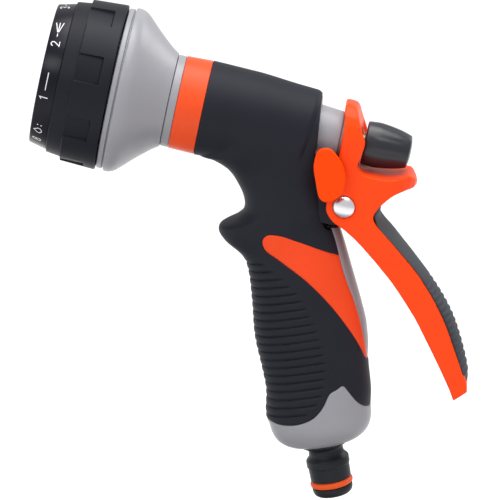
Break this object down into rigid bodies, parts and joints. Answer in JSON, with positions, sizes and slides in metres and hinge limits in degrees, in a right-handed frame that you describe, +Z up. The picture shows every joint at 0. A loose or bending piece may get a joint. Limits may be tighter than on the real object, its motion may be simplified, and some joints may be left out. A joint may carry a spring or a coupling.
{
  "type": "hose spray nozzle",
  "caption": "Pistol-shaped garden hose nozzle with a rotary pattern dial, rear trigger, flow knob, cross-bolt lock and click-connector spigot.",
  "frame": {"origin": "centre of the spigot's open end face, on its axis", "axes": "+X rearwards along the barrel axis, away from the spray; +Z up, across the barrel axis; +Y to the left of a person holding it"},
  "size_m": [0.1888, 0.0656, 0.179],
  "materials": {
    "dial_black": "gloss",
    "grip_rubber": "satin",
    "abs_grey": "satin",
    "soft_dark": "matt",
    "inlay_orange": "satin",
    "ring_orange": "satin",
    "trigger_orange": "satin",
    "lock_orange": "satin",
    "pad_dark": "matt",
    "knob_dark": "semi-gloss",
    "spigot_dark": "satin",
    "seal_black": "matt",
    "seal_orange": "satin",
    "acetal": "satin",
    "steel": "satin",
    "chrome": "polished",
    "brass": "turned"
  },
  "bodies": {
    "root": {"body_core": "abs_grey", "grip_cover": "soft_dark", "inlay_left": "inlay_orange", "inlay_right": "inlay_orange", "head_shell": "abs_grey", "head_plate": "abs_grey", "outlet_seal": "seal_black", "outlet_spring": "steel", "dial_screw": "steel", "dial_washer": "steel", "neck_nut": "abs_grey", "neck_ring": "ring_orange", "valve_seat": "seal_black", "valve_bonnet": "abs_grey", "bonnet_seal": "seal_black", "stem_seal": "seal_black", "water_tube": "acetal", "tube_seal": "seal_black", "hose_spigot": "spigot_dark", "spigot_o_ring": "seal_orange", "pivot_pin": "chrome"},
    "dial": {"dial_face": "dial_black", "dial_cup": "dial_black", "dial_grip_ring": "grip_rubber"},
    "trigger": {"trigger": "trigger_orange", "trigger_pad": "pad_dark"},
    "valve": {"valve_stem": "brass", "valve_plunger": "brass", "plunger_seal": "seal_black", "return_spring": "steel"},
    "knob": {"flow_knob": "knob_dark"},
    "lock": {"lock_bolt": "lock_orange", "lock_button_left": "lock_orange", "lock_button_right": "lock_orange"}
  },
  "joints": [
    {"name": "dial_turn", "type": "hinge", "parent": "root", "child": "dial", "pos_m": [-0.1332, 0, 0.14381], "axis": [1, 0, 0], "continuous": true},
    {"name": "trigger_squeeze", "type": "hinge", "parent": "root", "child": "trigger", "pos_m": [-0.021, 0, 0.11991], "axis": [0, 1, 0], "range_deg": [0, 12], "stiffness_Nm_per_rad": 0.9, "springref_deg": -25.78},
    {"name": "valve_slide", "type": "slide", "parent": "root", "child": "valve", "axis": [1, 0, 0], "range_m": [0, 0.005], "deforming": ["return_spring"]},
    {"name": "flow_knob_turn", "type": "hinge", "parent": "valve", "child": "knob", "pos_m": [-0.0092, 0, 0.14381], "axis": [1, 0, 0], "range_deg": [-360, 360]},
    {"name": "lock_slide", "type": "slide", "parent": "root", "child": "lock", "axis": [0, 1, 0], "range_m": [0, 0.0028]}
  ],
  "couplings": [
    {"joint": "valve_slide", "follows": "trigger_squeeze", "m_per_rad": 0.0232}
  ]
}
